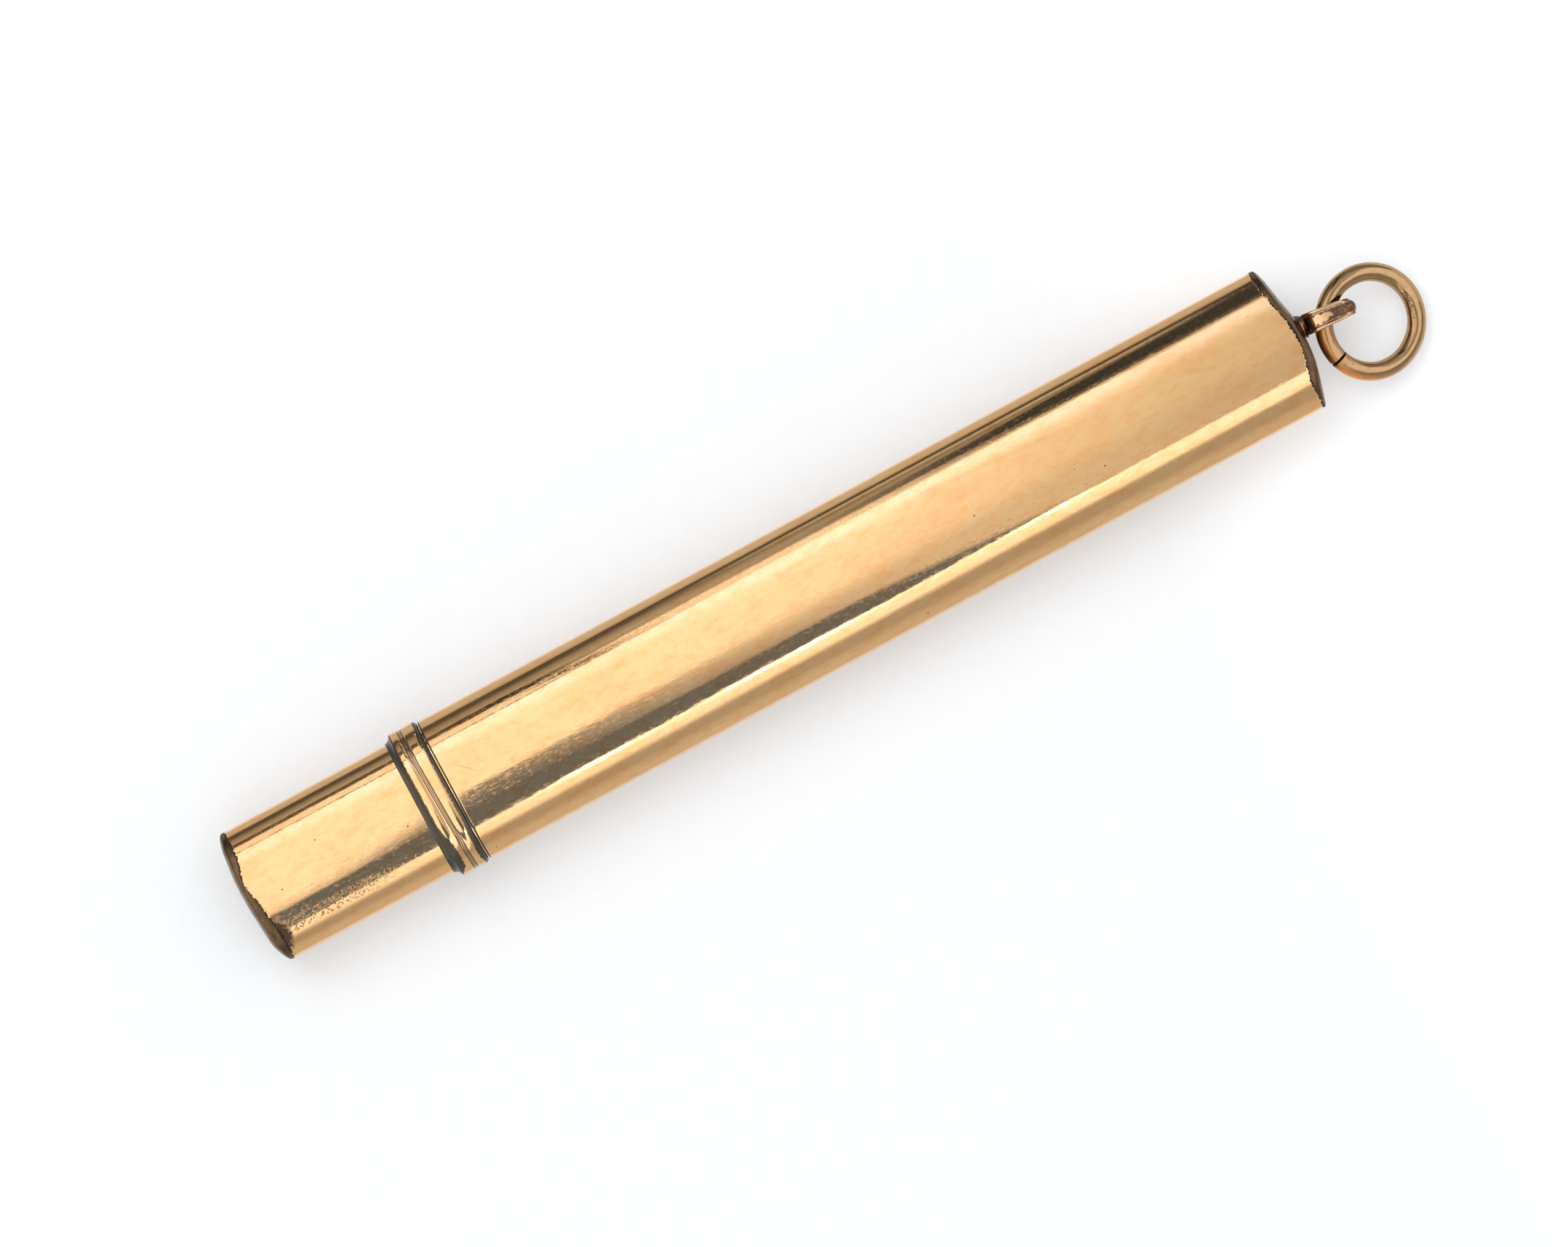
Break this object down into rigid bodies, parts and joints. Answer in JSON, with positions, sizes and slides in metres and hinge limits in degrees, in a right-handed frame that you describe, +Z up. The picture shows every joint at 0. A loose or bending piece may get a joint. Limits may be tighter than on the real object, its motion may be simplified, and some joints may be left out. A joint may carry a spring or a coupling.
{
  "type": "pendant pencil",
  "caption": "Flat oval gold pendant pencil: a slim pencil with a grooved stop collar pulls out of a sheath that has an eye and a jump ring at its domed end.",
  "frame": {"origin": "under the middle of the part's box, on the surface that the pencil lies on", "axes": "+X along the pencil towards the ring, +Y across its width, +Z up through its thickness"},
  "size_m": [0.0882, 0.0108, 0.0056],
  "materials": {
    "polished_gold": "polished, finely scratched rolled gold",
    "rose_gold": "worn coppery gold",
    "tarnished_gold": "brown tarnish",
    "plain_brass": "turned brass",
    "steel_wire": "drawn wire",
    "graphite": "dull dark grey"
  },
  "bodies": {
    "sheath": {"sheath_tube": "polished_gold", "sheath_end_cap": "tarnished_gold", "eye_peg": "rose_gold", "eye_loop": "rose_gold"},
    "jump_ring": {"jump_ring": "rose_gold"},
    "pencil": {"pencil_barrel": "polished_gold", "butt_end_cap": "tarnished_gold", "stop_collar": "polished_gold", "front_plate": "polished_gold", "rear_plate": "plain_brass", "feed_casing": "plain_brass", "feed_helix": "steel_wire", "front_bush": "plain_brass", "rear_bush": "plain_brass"},
    "nozzle": {"slotted_tube": "plain_brass", "tail_washer": "plain_brass", "nozzle": "polished_gold", "nozzle_grip": "polished_gold"},
    "lead_carrier": {"lead_carrier": "plain_brass", "carrier_pin": "steel_wire", "lead": "graphite"}
  },
  "joints": [
    {"name": "pencil_pull", "type": "slide", "parent": "sheath", "child": "pencil", "axis": [-1, 0, 0], "range_m": [0, 0.06]},
    {"name": "nozzle_twist", "type": "hinge", "parent": "pencil", "child": "nozzle", "pos_m": [0.00597, 0, 0.00278], "axis": [1, 0, 0], "range_deg": [-360, 2520]},
    {"name": "lead_feed", "type": "slide", "parent": "nozzle", "child": "lead_carrier", "axis": [1, 0, 0], "range_m": [-0.0015, 0.0105]},
    {"name": "ring_swing", "type": "hinge", "parent": "sheath", "child": "jump_ring", "pos_m": [0.0377, 0.00025, 0.00278], "axis": [-0.5736, -0.8192, 0], "range_deg": [-58, 95]}
  ],
  "couplings": [
    {"joint": "nozzle_twist", "follows": "lead_feed", "rad_per_m": 4188.8}
  ]
}
